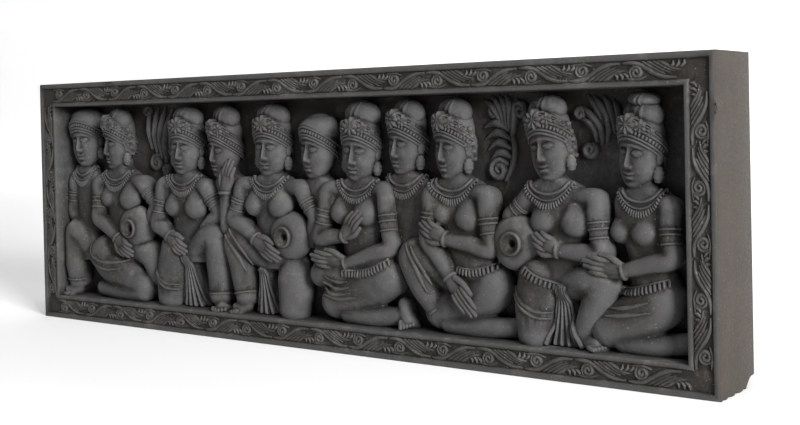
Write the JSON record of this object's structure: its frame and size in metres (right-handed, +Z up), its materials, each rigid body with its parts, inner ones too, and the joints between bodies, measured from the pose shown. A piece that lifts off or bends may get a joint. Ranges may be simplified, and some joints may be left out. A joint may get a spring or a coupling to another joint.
{
  "type": "framed relief panel",
  "caption": "Long low slab of dark carved stone: a row of kneeling and sitting women, some with water jars, in a sunk field inside a border of leaf scrolls. Stands on its long edge.",
  "frame": {"origin": "middle of the underside, half way through the slab's thickness", "axes": "+X along the panel to the right as seen from the front, +Y from the carved face to the plain back, +Z up"},
  "size_m": [0.915, 0.08, 0.3],
  "materials": {
    "dark_stone": "carved and lightly worn, matt, with pale dust and specks"
  },
  "bodies": {
    "root": {"relief_panel": "dark_stone"}
  },
  "joints": []
}
